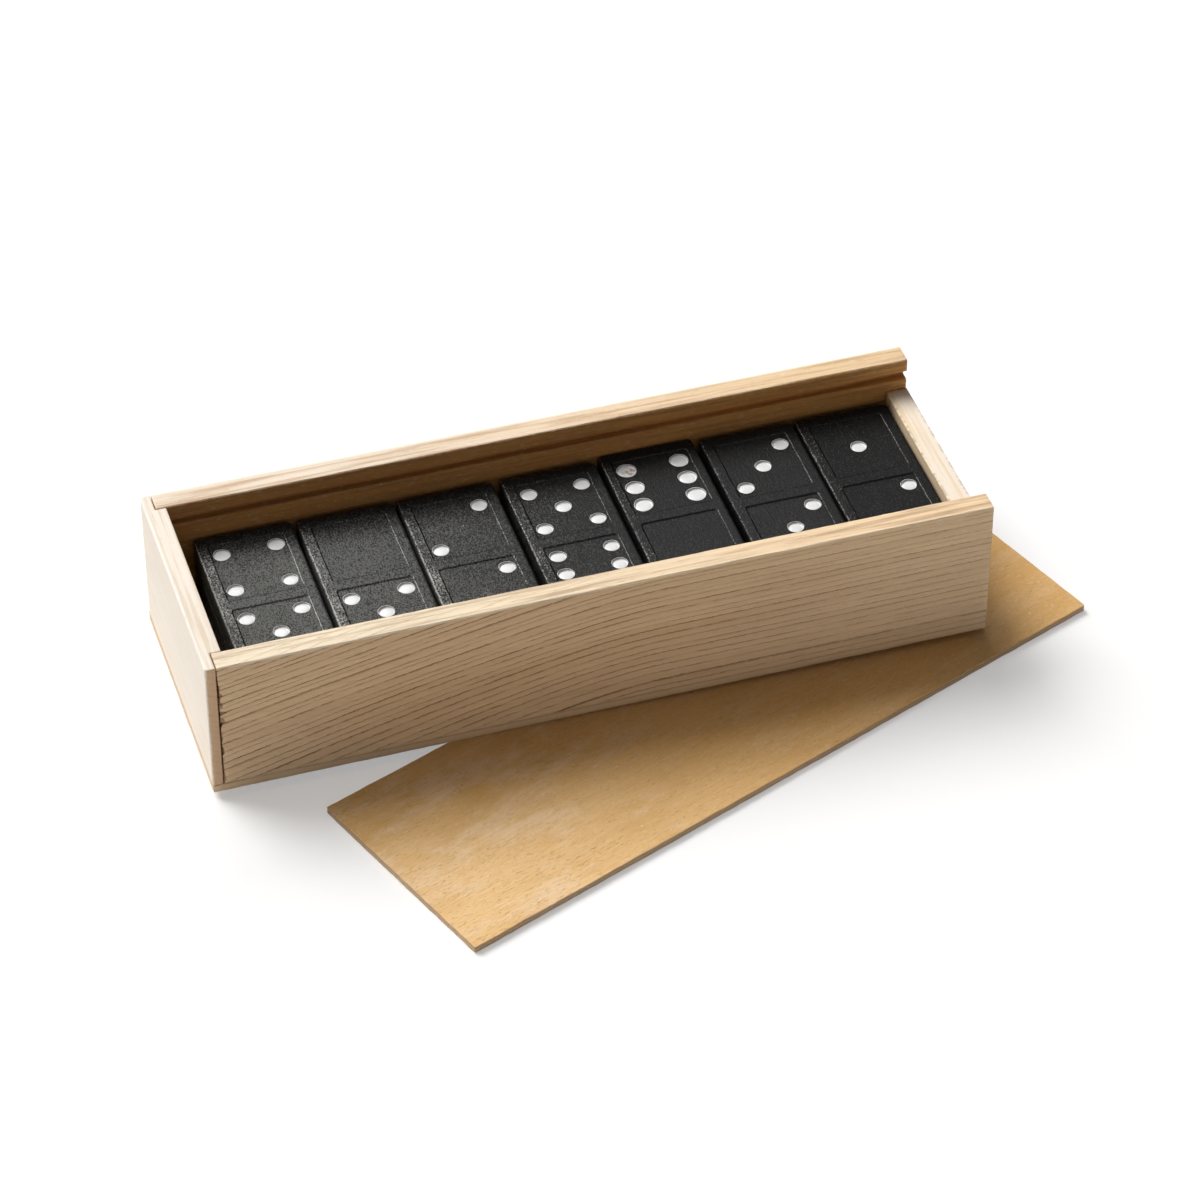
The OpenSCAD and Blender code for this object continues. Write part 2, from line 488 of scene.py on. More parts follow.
    def _edges(self) -> NodeTree:
        """The long edges of a board, from its middle and half its size.

        Returns:
            The group.
        """
        g, given, result = self._start(
            "Board edges",
            {"Vector": (0, 0, 0), "Middle": (0, 0, 0), "Half Size": (1, 1, 1), "Width": 1 * MM},
            ["Mask"],
        )
        depth = g.math("ABSOLUTE", given["Vector"] - given["Middle"]) - given["Half Size"]
        low = given["Width"] * -1.0
        x, y, z = (g.smooth(part, low, 0.0) for part in g.split(depth))
        g.feed(result, {"Mask": g.math("ADD", x * y + y * z, z * x, clamp=True)})
        return g.tree


# Finishes


@dataclass(frozen=True)
class Pine:
    """Bare sanded pine with growth lines, fibres, rubbed edges, painted light and painted shade."""

    name: str
    pale: Colour
    dark: Colour
    warm: Colour
    # top: the top face's colour, paler than the rest as its lit side (painted light)
    top: Colour
    # inside: the inner face's colour, darker than the rest as its shade (painted shade)
    inside: Colour
    ends: Colour
    rubbed: Colour
    # far_top and far_inside: the top's and the inside's colours towards the low end
    far_top: Colour | None = None
    far_inside: Colour | None = None
    rub: float = 0.25
    spacing: float = 1.0 * MM
    pith: Colour = (0.0, -0.05, -0.04)
    bend_from: float = 0.0
    bend: float = 0.0
    wander: float = 0.5 * MM
    fine_wander: float = 0.09 * MM
    lines: float = 0.8
    far_lines: float = 0.8
    seed: float = 0.0
    streaks: tuple[Streak, ...] = (
        Streak(14.0, 0.3, 0.3, 0.7),
        Streak(2.2, 0.22, 0.62, 0.72, 3.0),
        Streak(60.0, 7.0, 0.35, 0.75, 5.0),
        Streak(1.6, 0.17, 0.58, 0.74, 9.0),
        Streak(26.0, 1.1, 0.42, 0.68, 11.0),
    )

    def material(
        self, effects: Effects, place: Place, grain: Grain, low: Vector, high: Vector
    ) -> Material:
        """Builds the material for one board.

        Args:
            effects: the shared groups.
            place: the straight frame of the board.
            grain: the way its fibres run.
            low: its lowest local corner.
            high: its highest local corner.
        Returns:
            The material.
        """
        material, g = new_material(self.name)
        at = place.wood_coordinates(g, grain)
        middle, half = (low + high) / 2, (high - low) / 2
        if grain is Grain.ALONG_Y:
            middle = Vector((middle.y, -middle.x, middle.z))
            half = half.yxz
        rings = g.group(
            effects.rings, Vector=at, Spacing=self.spacing, Pith=self.pith, Seed=self.seed,
            Bend_From=self.bend_from, Bend=self.bend, Wander=self.wander,
            Fine_Wander=self.fine_wander,
        )
        late = rings["Late Wood"]
        fibre, canals, stain, flecks, bands = (
            effects.streak(g, at, marks, self.seed) for marks in self.streaks
        )
        box = {"Middle": tuple(middle), "Half_Size": tuple(half)}
        edge = g.group(effects.edges, Vector=at, Width=0.7 * MM, **box)["Mask"]
        ragged = g.smooth(g.noise(at, 900.0, 3.0), 0.42, 0.6)

        x, y, z = g.split(at - tuple(middle))
        sawn = g.smooth(g.math("ABSOLUTE", x), half.x - 0.3 * MM, half.x - 0.05 * MM)
        inward = y * -math.copysign(1.0, middle.y)
        # inner marks the board inwards of its outer face, where the inside colour is painted shade
        inner = g.smooth(inward, 0.2 * MM - half.y, 0.8 * MM - half.y)
        brink = g.smooth(inward, half.y - 0.5 * MM, half.y - 0.1 * MM)
        reach = g.fit(brink, 0.5 * MM, 0.2 * MM), g.fit(brink, 0.25 * MM, 0.05 * MM)
        # upper marks the top face: the top colour paints it paler as the lit side (painted light),
        # with paler growth lines
        upper = g.smooth(half.z - z, *reach)
        inside, top = self.inside, self.top
        # towards the low end the painted shade of the inner face turns to far_inside
        if self.far_inside:
            far = g.smooth(x, -0.4 * half.x, 0.5 * half.x)
            inside = g.layers(inside, (far, self.far_inside))
        # towards the low end the painted light of the top turns to far_top
        if self.far_top:
            top = g.layers(top, (g.smooth(x, -0.8 * half.x, 0.9 * half.x), self.far_top))
        far = g.smooth(x, -0.3 * half.x, 0.8 * half.x)
        lines = late * g.fit(far, self.lines, self.far_lines) * (1.0 - upper * 0.3)
        end_lines = tuple(0.6 * c for c in self.dark)
        line_colour = g.layers(self.dark, (upper, self.warm), (sawn, end_lines))
        colour = g.layers(
            self.pale,
            (stain * 0.5, self.warm),
            (g.fit(rings["Ring Tone"], 0.0, 0.3), self.warm),
            # painted shade on the inner face, then painted light on the top face
            (inner * 0.9, inside),
            (upper * 0.75, top),
            (bands * upper * 0.2, self.warm),
            (bands * inner * 0.5, self.dark),
            (sawn, self.ends),
            (fibre * 0.14, self.dark),
            (lines, line_colour),
            (canals * g.fit(late, 0.2, 0.6), self.dark),
            (flecks * 0.3, self.top),
            (edge * ragged * self.rub, self.rubbed),
        )
        height = fibre * 0.5 + canals * -0.6 + late * 0.5
        g.dress(colour, g.fit(late, 0.72, 0.58), height, 0.06 * MM, gloss=0.35)
        return material


@dataclass(frozen=True)
class Plywood:
    """Thin plywood: a blotchy face veneer, layers on the cut edge, and on the lid a painted shadow.
    """

    name: str
    face: Colour
    blotch: Colour
    light: Colour
    pore: Colour
    core: Colour
    glue: Colour
    core_from: float
    core_to: float
    split_at: float
    seed: float = 0.0
    knot: Colour = (0.10, 0.05, 0.025)
    split: Colour = (0.13, 0.075, 0.035)
    blur: float = 0.03 * MM
    streaks: tuple[Streak, ...] = (
        Streak(9.0, 0.28, 0.3, 0.7),
        Streak(1.1, 0.16, 0.6, 0.7, 2.0),
        Streak(1.7, 0.22, 0.6, 0.7, 4.0),
        Streak(5.0, 0.5, 0.66, 0.7, 6.0),
    )

    def material(self, effects: Effects, place: Place, grain: Grain) -> Material:
        """Builds the material for one panel.

        Args:
            effects: the shared groups.
            place: the straight frame of the panel, with Z from its underside.
            grain: the way the fibres of its face run.
        Returns:
            The material.
        """
        material, g = new_material(self.name)
        at = place.wood_coordinates(g, grain)
        x, y, z = g.split(at)
        broad = g.smooth(g.noise(at, (22.0, 60.0, 60.0), 3.0, 0.6), 0.3, 0.72)
        clouds = g.smooth(g.noise(at, (48.0, 130.0, 130.0), 5.0, 0.7), 0.44, 0.66)
        torn = g.smooth(g.noise(at, (420.0, 900.0, 900.0), 3.0, 0.6), 0.56, 0.7)
        fibre, pores, dashes, splits = (
            effects.streak(g, at, marks, self.seed) for marks in self.streaks
        )
        flecks, spots = (
            g.group(
                effects.specks, Vector=at, Spacing=spacing, Size=size, Share=share, Seed=seed
            )["Mask"]
            for spacing, size, share, seed in (
                (2.6 * MM, 0.3 * MM, 0.3, self.seed),
                (17 * MM, 0.42 * MM, 0.45, self.seed + 7),
            )
        )
        left, front = x * -1.0, y * -1.0
        # 1 at the lid's near end; towards +X the face is painted darker, a painted shadow of the
        # box, with fewer pale clouds
        out_of_shadow = g.smooth(left, -0.02, self.split_at)
        near_end = g.smooth(left, self.split_at, self.split_at + 3 * MM)
        near_corner = near_end * g.smooth(front, 2 * MM, 8 * MM)

        level = z + g.fit(g.noise(at, (160.0, 160.0, 0.0), 3.0), -0.13 * MM, 0.13 * MM)
        core_from, core_to = (
            g.smooth(level, edge - self.blur, edge + self.blur)
            for edge in (self.core_from, self.core_to)
        )
        ragged = g.fit(g.noise(at, 1400.0, 3.0), 0.55, 1.0)
        seam = g.smooth(g.math("ABSOLUTE", level - self.core_to), self.blur, 0.14 * MM)
        face = g.smooth(z, self.core_to + 0.3 * MM, self.core_to + 0.4 * MM)
        colour = g.layers(
            self.face,
            (broad, self.blotch),
            # painted shadow: darker away from the lid's near end
            (g.fit(out_of_shadow, 0.6, 0.0), self.blotch),
            (clouds * g.fit(out_of_shadow, 0.2, 0.6), self.light),
            (fibre * 0.12, self.pore),
            (torn * 0.35, self.blotch),
            (pores * 0.5, self.pore),
            (dashes * 0.4, self.light),
            (flecks * 0.5, self.light),
            (spots * 0.8, self.knot),
            (splits * near_corner, self.split),
            (core_from * (1.0 - core_to) * ragged, self.core),
            ((1.0 - seam) * (1.0 - face) * 0.8, self.glue),
        )
        height = fibre * 0.4 + pores * -0.8 + torn * -0.7
        g.dress(colour, g.fit(broad, 0.5, 0.62), height, 0.07 * MM, gloss=0.4)
        return material


@dataclass(frozen=True)
class BlackPaint:
    """Half-matt black paint on coarse wood, rubbed grey on the rims, with painted sheen and shade.
    """

    name: str = "Black domino paint"
    black: Colour = (0.005, 0.005, 0.0053)
    # grey: speckle, shown mostly where the sheen is painted
    grey: Colour = (0.112, 0.113, 0.106)
    rubbed: Colour = (0.5, 0.495, 0.475)
    # where along the box the painted sheen fades out and where it is full
    sheen_gone_at: float = 0.03
    sheen_full_at: float = -0.05
    strands: Streak = Streak(1.6, 0.2, 0.35, 0.75, 2.0)

    def material(self, effects: Effects, place: Place) -> Material:
        """Builds the paint that all dominoes share.

        Args:
            effects: the shared groups.
            place: the straight frame of the box.
        Returns:
            The material.
        """
        material, g = new_material(self.name)
        at = place.wood_coordinates(g, Grain.ALONG_Y)
        across, back, _ = g.split(at)
        tooth = g.noise(at, (1600.0, 2300.0, 2300.0), 4.0, 0.75)
        grain = g.noise(at, (2700.0, 3600.0, 3600.0), 3.0, 0.75)
        wide = g.noise(at, 120.0)
        rim = g.attribute("rim")

        # painted sheen: grey speckle and paler rubbed rims towards the high end, weaker at the rear
        # ends where the back board shades the tiles
        painted_sheen = g.smooth(back, -self.sheen_gone_at, -self.sheen_full_at)
        painted_sheen = painted_sheen * g.fit(g.smooth(across, 0.008, 0.02), 1.0, 0.35)
        bare = g.fit(wide, 0.43, 0.38) + g.fit(painted_sheen, 0.12, -0.01)
        sparkle = g.smooth(grain, bare, bare + 0.14)
        broken = g.math("MULTIPLY_ADD", grain - 0.5, 2.4, rim)
        broken = g.math("MULTIPLY_ADD", wide - 0.5, 0.7, broken) + g.fit(painted_sheen, -0.18, 0.0)
        worn = g.smooth(broken, 0.45, 0.95) * g.fit(painted_sheen, 0.6, 0.9) * g.smooth(rim, 0.03, 0.2)
        # painted shade in the panels' creases and on the arrises that face away from the light,
        # which also loses its gloss
        crease = g.attribute("crease") * g.smooth(g.noise(at, 650.0), 0.3, 0.46)
        colour = g.layers(
            self.black,
            (sparkle * g.fit(painted_sheen, 0.28, 1.0), self.grey),
            (worn, self.rubbed),
            (crease * 0.9, self.black),
        )
        gloss = g.fit(g.smooth(back, -0.056, -0.044), 0.055, 0.09) * (1.0 - crease)
        height = tooth + effects.streak(g, at, self.strands) * 0.35
        g.dress(colour, g.fit(tooth, 0.48, 0.26), height, 0.1 * MM, 1.0, gloss)
        return material


@dataclass(frozen=True)
class WhitePaint:
    """A pip's drop of white paint, with a brown stain where chipped and painted shade at its foot.
    """

    name: str = "White pip paint"
    white: Colour = (0.72, 0.725, 0.725)
    shade: Colour = (0.60, 0.605, 0.61)
    brown: Colour = (0.30, 0.17, 0.09)
    # the painted shade line at the foot of the pip's wall
    foot_shade_colour: Colour = (0.03, 0.03, 0.03)

    def material(self, place: Place) -> Material:
        """Builds the paint of the pips.

        Args:
            place: the straight frame of the box.
        Returns:
            The material.
        """
        material, g = new_material(self.name)
        at = place.wood_coordinates(g, Grain.ALONG_Y)
        patch = g.smooth(g.noise(at, 650.0, 3.0), 0.42, 0.72)
        flaked = g.attribute("chip") * g.smooth(g.noise(at, 1100.0, 3.0), 0.44, 0.56)
        # painted shade line at the foot of the wall, broken up by noise
        foot_shade = g.attribute("crease") * g.smooth(g.noise(at, 700.0), 0.15, 0.3)
        colour = g.layers(
            self.white, (patch * 0.5, self.shade), (flaked, self.brown), (foot_shade, self.foot_shade_colour)
        )
        height = g.noise(at, 1800.0, 3.0)
        g.dress(colour, g.fit(patch, 0.28, 0.42), height, 0.05 * MM, 0.35)
        return material


# Each board's top colour is painted light on its top face, its inside colour painted shade.
FRONT_PINE = Pine(
    "Front board pine", pale=(0.85, 0.635, 0.41), dark=(0.22, 0.105, 0.045),
    warm=(0.65, 0.45, 0.27), top=(1.0, 0.92, 0.735), far_top=(0.985, 0.765, 0.505),
    inside=(0.66, 0.37, 0.14), ends=(0.80, 0.57, 0.35), rubbed=(0.86, 0.70, 0.52),
    spacing=1.05 * MM, pith=(0.0, -0.066, -0.028), bend_from=0.012, bend=0.17,
    wander=0.3 * MM, fine_wander=0.17 * MM, lines=1.0, far_lines=0.62, seed=1.0,
)
BACK_PINE = Pine(
    "Back board pine", pale=(0.83, 0.65, 0.44), dark=(0.36, 0.16, 0.05), warm=(0.78, 0.55, 0.30),
    top=(0.98, 0.92, 0.81), far_top=(0.84, 0.67, 0.45), inside=(0.48, 0.22, 0.04),
    far_inside=(0.68, 0.33, 0.07), ends=(0.78, 0.54, 0.33), rubbed=(0.90, 0.75, 0.58),
    spacing=1.9 * MM, pith=(0.0, 0.085, -0.012), wander=1.4 * MM, fine_wander=0.08 * MM, seed=8.0,
)
HIGH_PINE = Pine(
    "High end pine", pale=(0.90, 0.855, 0.80), dark=(0.62, 0.46, 0.29), warm=(0.90, 0.81, 0.70),
    top=(0.925, 0.875, 0.815), inside=(0.82, 0.62, 0.38), ends=(0.70, 0.475, 0.30),
    rubbed=(0.92, 0.87, 0.79), spacing=1.3 * MM, pith=(0.0, 0.10, -0.03), wander=0.8 * MM,
    lines=0.35, far_lines=0.35, seed=14.0,
)
LOW_PINE = Pine(
    "Low end pine", pale=(0.90, 0.77, 0.64), dark=(0.74, 0.52, 0.27), warm=(0.88, 0.72, 0.52),
    top=(0.89, 0.815, 0.735), inside=(0.84, 0.66, 0.45), ends=(0.86, 0.69, 0.48),
    rubbed=(0.30, 0.25, 0.12), rub=0.6, spacing=2.6 * MM, pith=(0.0, -0.09, -0.02),
    wander=1.5 * MM, lines=0.16, far_lines=0.16, seed=19.0,
)
BASE_PLY = Plywood(
    "Base plywood", face=(0.76, 0.56, 0.36), blotch=(0.68, 0.49, 0.30), light=(0.80, 0.62, 0.42),
    pore=(0.36, 0.22, 0.11), core=(0.74, 0.55, 0.36), glue=(0.50, 0.34, 0.20),
    core_from=0.6 * MM, core_to=1.55 * MM, split_at=1.0, seed=4.0,
)
LID_PLY = Plywood(
    "Lid plywood", face=(0.83, 0.54, 0.245), blotch=(0.68, 0.39, 0.125), light=(0.88, 0.67, 0.44),
    pore=(0.34, 0.18, 0.07), core=(0.52, 0.385, 0.275), glue=(0.30, 0.22, 0.17),
    core_from=0.22 * MM, core_to=1.12 * MM, split_at=0.0695, seed=9.0,
)


# Mesh making

SIDES = 28
KNOTS = 4096
SHARP = math.radians(50.0)


def pairs(count: int) -> list[tuple[int, int]]:
    """Each index of a loop with the next one round."""
    return [(i, (i + 1) % count) for i in range(count)]


def circle() -> np.ndarray:
    """The points of a unit circle."""
    angles = np.linspace(0, 2 * math.pi, SIDES, endpoint=False)
    return np.column_stack((np.cos(angles), np.sin(angles)))


def ripple(at: np.ndarray, seed: int, step: float, reach: float) -> np.ndarray:
    """A smooth random value from 0 to reach along a line.

    Args:
        at: places along the line.
        seed: picks the run of random values.
        step: distance from one random value to the next.
        reach: the highest value.
    Returns:
        One value for each place.
    """
    knots = np.random.default_rng(seed).random(KNOTS)
    where = (np.asarray(at, float) / step) % (KNOTS - 1)
    cell = where.astype(int)
    part = where - cell
    part = part * part * (3 - 2 * part)
    return reach * (knots[cell] * (1 - part) + knots[cell + 1] * part)


def eased(corners: Sequence[tuple[float, float, float]], steps: int = 5) -> Outline:
    """An outline whose right-angled corners are rounded.

    Args:
        corners: place and radius of each corner, in order around the outline.
        steps: pieces of each round.
    Returns:
        The points, and for each one how it moves when its corner is rubbed further down.
    """
    points, inward = [], []
    for i, (a, b, radius) in enumerate(corners):
        corner = np.array((a, b))
        back, ahead = (
            np.array(corners[k % len(corners)][:2]) - corner for k in (i - 1, i + 1)
        )
        back, ahead = back / np.linalg.norm(back), ahead / np.linalg.norm(ahead)
        for k in range(steps + 1) if radius > 0 else [0]:
            angle = math.pi / 2 * k / steps
            pull = ahead * math.cos(angle) + back * math.sin(angle)
            points.append(corner + radius * (back + ahead - pull))
            inward.append((back + ahead) * math.sin(2 * angle) / math.sqrt(2))
    return np.array(points), np.array(inward)


def dense(outline: Outline, step: float) -> Outline:
    """Adds points along the straight runs of an outline.

    Args:
        outline: the points and how each one moves when rubbed.
        step: the longest run left.
    Returns:
        The fuller outline.
    """
    points, inward = [], []
    for start, end, moves in zip(outline[0], np.roll(outline[0], -1, axis=0), outline[1]):
        pieces = max(1, math.ceil(np.linalg.norm(end - start) / step))
        for k in range(pieces):
            points.append(start + (end - start) * k / pieces)
            inward.append(moves if k == 0 else np.zeros(2))
    return np.array(points), np.array(inward)


def rectangle(
    low: Sequence[float], high: Sequence[float], radius: float, step: float
) -> np.ndarray:
    """An anticlockwise rectangle of rounded corners, with no run longer than step."""
    places = ((low[0], low[1]), (high[0], low[1]), (high[0], high[1]), (low[0], high[1]))
    return dense(eased([(x, y, radius) for x, y in places]), step)[0]


def outward(points: np.ndarray) -> np.ndarray:
    """The unit direction out of an anticlockwise outline at each of its points."""
    run = np.roll(points, -1, axis=0) - np.roll(points, 1, axis=0)
    return np.stack((run[:, 1], -run[:, 0]), axis=1) / np.linalg.norm(run, axis=1, keepdims=True)


def uneven(
    outline: np.ndarray, seed: int, step: float, reach: float,
    start: float = 0.0, inset: float = 0.0,
) -> np.ndarray:
    """An outline pushed in here and there.

    Args:
        outline: its points.
        seed: picks where it is pushed in.
        step: about how long each dent is.
        reach: how deep the deepest is.
        start: where along the run of random values it starts.
        inset: how far it is pushed in everywhere.
    Returns:
        The points, moved.
    """
    runs = np.linalg.norm(np.diff(outline, axis=0), axis=1)
    along = np.concatenate(([0.0], np.cumsum(runs)))
    depth = ripple(along + start, seed, step, reach) + inset
    return outline - outward(outline) * depth[:, None]


def add_object(name: str, data: ID) -> Object:
    """A new object of the data, in the scene.

    Args:
        name: its name.
        data: its mesh, lamp or camera.
    Returns:
        The object.
    """
    item = bpy.data.objects.new(name, data)
    bpy.context.scene.collection.objects.link(item)
    return item


def make_piece(name: str, mesh: Mesh, materials: Sequence[Material], ease: float = 0.0) -> Object:
    """Makes a smooth piece whose flats stay flat.

    Args:
        name: the piece's name.
        mesh: its mesh, in the row frame.
        materials: its materials.
        ease: how far the easing of its sharp edges reaches, or 0 for none.
    Returns:
        The piece.
    """
    mesh.shade_smooth()
    for material in materials:
        mesh.materials.append(material)
    piece = add_object(name, mesh)
    if ease:
        bevel = piece.modifiers.new("Eased edges", "BEVEL")
        bevel.width, bevel.segments = ease, 2
        bevel.limit_method, bevel.angle_limit = "ANGLE", SHARP
    piece.modifiers.new("Flat faces", "WEIGHTED_NORMAL")
    return piece


def skinned(name: str, loops: Sequence[np.ndarray], place: Place) -> Mesh:
    """Joins loops of as many points each, and closes the first and the last one.

    Args:
        name: the mesh's name.
        loops: the loops, one above the other, in a straight frame.
        place: the straight frame.
    Returns:
        The mesh, in the row frame.
    """
    count, points = len(loops[0]), np.concatenate(loops)
    last = len(points) - count
    faces = [
        (start + i, start + j, start + count + j, start + count + i)
        for start in range(0, last, count)
        for i, j in pairs(count)
    ]
    faces += [tuple(reversed(range(count))), tuple(range(last, last + count))]
    volume = sum(
        float(np.dot(points[face[0]], np.cross(points[face[i]], points[face[i + 1]])))
        for face in faces
        for i in range(1, len(face) - 1)
    )
    if volume <= 0:
        faces = [tuple(reversed(face)) for face in faces]
    mesh = bpy.data.meshes.new(name)
    mesh.from_pydata(place.to_row(points).tolist(), [], faces)
    mesh.update()
    return mesh


def hand_over(piece: Object, body: str, node: str) -> None:
    """Hangs a piece on the body that it rides on and hides the CAD node that it stands for.

    Args:
        piece: the piece.
        body: the body that it rides on.
        node: the CAD node that it stands for.
    """
    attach(piece, body)
    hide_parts(node)
    LOG.info("%s: %d faces, on body %s", piece.name, len(piece.data.polygons), body)


# The box and its lid


class Wear(NamedTuple):
    """How unevenly a board's corners are rubbed down along it."""

    seed: int
    step: float
    reach: float
    slant: tuple[float, float]
    start: float = 0.0


def drawn_out(
    outline: Outline, axis: int, span: tuple[float, float], step: float, wear: Wear
) -> list[np.ndarray]:
    """Draws a board's outline out along an axis.

    Args:
        outline: the outline and how its points move when rubbed.
        axis: the axis, 0 to 2.
        span: where it starts and ends.
        step: about how far apart its loops are.
        wear: how its corners are rubbed.
    Returns:
        The loops.
    """
    points, inward = outline
    shift = points[:, 0] * wear.slant[0] + points[:, 1] * wear.slant[1] + wear.start
    loops = []
    for at in np.linspace(*span, round((span[1] - span[0]) / step) + 1):
        rub = ripple(at + shift, wear.seed, wear.step, wear.reach)
        loops.append(np.insert(points + inward * rub[:, None], axis, at, axis=1))
    return loops


def panel_loops(
    low: Vector, high: Vector, radius: float, layers: Sequence[float], rough: float, seed: int
) -> list[np.ndarray]:
    """The loops of a thin panel whose sawn edge is a little rough, layer by layer.

    Args:
        low: its lowest corner.
        high: its highest corner.
        radius: radius of its corners.
        layers: heights at which its edge steps, as shares of its thickness.
        rough: how deep the saw has torn the edge.
        seed: picks the tears.
    Returns:
        The loops from the underside to the top.
    """
    outline = rectangle(low, high, radius, 0.9 * MM)
    loops = []
    for k, level in enumerate([0.0, 0.05, *layers, 0.95, 1.0]):
        layer, inset = k // 2, 0.06 * MM if level in (0.0, 1.0) else 0.0
        moved = uneven(outline, seed + layer, 1.7 * MM, rough, 11.0 * MM * layer, inset)
        loops.append(np.insert(moved, 2, low.z + (high.z - low.z) * level, axis=1))
    return loops


@dataclass
class BoxBoards:
    """The five glued boards of the box."""

    place: Place
    effects: Effects
    edge: float = 0.17 * MM
    round_corner: float = 1.0 * MM
    rubbed_corner: float = 0.5 * MM
    worn: float = 0.14 * MM
    groove_depth: float = 1.8 * MM
    groove_height: float = 1.85 * MM
    groove_lip: float = 2.8 * MM
    rabbet_lip: float = 2.0 * MM
    side_thickness: float = 4.4 * MM
    joint_gap: float = 0.13 * MM
    free_end: float = 0.13 * MM
    bite: float = 0.75 * MM
    bite_at: float = 0.64
    bite_spread: float = 0.17
    saw_marks: float = 0.08 * MM
    foot: float = 0.12 * MM
    groove_seat: float = 0.12 * MM
    groove_sill: float = 0.36 * MM
    groove_brow: float = 0.14 * MM
    side_ease: float = 0.1 * MM
    high_ease: float = 0.35 * MM
    step: float = 1.0 * MM
    outline_step: float = 0.45 * MM

    def board(
        self, node: str, name: str, grain: Grain, finish: Pine, loops: Sequence[np.ndarray],
        ease: float = 0.0,
    ) -> None:
        """Makes and hands over a board.

        Args:
            node: the CAD node that it stands for.
            name: the piece's name.
            grain: the way its fibres run.
            finish: its wood.
            loops: its loops.
            ease: how far the easing of its sharp edges reaches.
        """
        low, high = self.place.box_of(node)
        material = finish.material(self.effects, self.place, grain, low, high)
        piece = make_piece(name, skinned(name, loops, self.place), [material], ease)
        hand_over(piece, "box", node)

    def side(self, node: str, name: str, front: bool, finish: Pine) -> None:
        """A long side board with the groove that the lid slides in.

        Args:
            node: the CAD node that it stands for.
            name: the piece's name.
            front: whether it is the front board.
            finish: its wood.
        """
        low, high = self.place.box_of(node)
        outer, inner = (low.y, high.y) if front else (high.y, low.y)
        groove_top = high.z - self.groove_lip
        groove_low = groove_top - self.groove_height
        seat = inner - math.copysign(self.groove_depth, inner - outer)
        rounded = eased(
            [
                (outer, low.z, self.foot), (inner, low.z, 0.0),
                (inner, groove_low, self.groove_sill), (seat, groove_low, self.groove_seat),
                (seat, groove_top, self.groove_seat), (inner, groove_top, self.groove_brow),
                (inner, high.z, self.edge), (outer, high.z, self.edge),
            ]
        )
        outline = dense(rounded, self.outline_step)
        wear = Wear(11 + front, 2.3 * MM, self.worn, (3.0, 7.0), 1.0)
        span = low.x + self.joint_gap, high.x - self.free_end
        loops = drawn_out(outline, 0, span, self.step, wear)
        up = outline[0][:, 1]
        share = (up - low.z) / (high.z - low.z)
        bitten = ripple(up, 5 + front, 0.7 * MM, 3 * self.bite) - 0.7 * self.bite
        hump = np.exp(-(((share - self.bite_at) / self.bite_spread) ** 2))
        where = np.maximum(hump, 0.25 * (share < 0.6))
        sawn = ripple(up, 15 + front, 1.1 * MM, self.saw_marks)
        loops[0][:, 0] += np.maximum(bitten, 0.0) * where + sawn
        self.board(node, name, Grain.ALONG_X, finish, loops, self.side_ease)

    def high_end(self, finish: Pine) -> None:
        """The full-height end board with its two rabbets.

        Args:
            finish: its wood.
        """
        low, high = self.place.box_of("high_end")
        lip = low.x + self.rabbet_lip
        front, back = low.y + self.side_thickness, high.y - self.side_thickness
        outline = eased(
            [
                (low.x, low.y, self.rubbed_corner), (lip, low.y, 0.0), (lip, front, 0.0),
                (high.x, front, 0.0), (high.x, back, 0.0), (lip, back, 0.0), (lip, high.y, 0.0),
                (low.x, high.y, self.round_corner),
            ]
        )
        wear = Wear(21, 1.9 * MM, self.worn, (0.0, 9.0))
        loops = drawn_out(outline, 2, (low.z, high.z), self.step, wear)
        self.board("high_end", "high_end_board", Grain.ALONG_Y, finish, loops, self.high_ease)

    def low_end(self, finish: Pine) -> None:
        """The lower end board that the lid passes over.

        Args:
            finish: its wood.
        """
        low, high = self.place.box_of("low_end")
        outline = eased(
            [
                (low.x, low.z, 0.0), (high.x, low.z, 0.1 * MM), (high.x, high.z, self.edge),
                (low.x, high.z, self.edge),
            ]
        )
        wear = Wear(31, 2.6 * MM, 1.3 * self.worn, (5.0, 0.0))
        loops = drawn_out(outline, 1, (low.y, high.y), self.step, wear)
        self.board("low_end", "low_end_board", Grain.ALONG_Y, finish, loops)

    def base(self, finish: Plywood) -> None:
        """The thin panel under the boards.

        Args:
            finish: its plywood.
        """
        low, high = self.place.box_of("bottom_panel")
        loops = panel_loops(low, high, self.edge, [0.45, 0.5], 0.09 * MM, 41)
        material = finish.material(self.effects, self.place, Grain.ALONG_X)
        piece = make_piece("base_panel", skinned("base_panel", loops, self.place), [material])
        hand_over(piece, "box", "bottom_panel")

    def build(self) -> None:
        """Builds and hands over the five boards."""
        self.side("front_side", "front_board", True, FRONT_PINE)
        self.side("back_side", "back_board", False, BACK_PINE)
        self.high_end(HIGH_PINE)
        self.low_end(LOW_PINE)
        self.base(BASE_PLY)


@dataclass
class LooseLid:
    """The thin lid, flat on the table."""

    place: Place
    effects: Effects
    corner: float = 0.3 * MM
    rough: float = 0.1 * MM
    trim: float = 0.15 * MM
    layers: tuple[float, ...] = (0.36, 0.4, 0.56, 0.6)

    def build(self) -> None:
        """Builds and hands over the lid."""
        low, high = self.place.box_of("lid")
        trim = Vector((self.trim, self.trim, 0.0))
        loops = panel_loops(low + trim, high - trim, self.corner, self.layers, self.rough, 51)
        material = LID_PLY.material(self.effects, self.place, Grain.ALONG_X)
        piece = make_piece("lid_panel", skinned("lid_panel", loops, self.place), [material])
        hand_over(piece, "lid", "lid")


# The dominoes


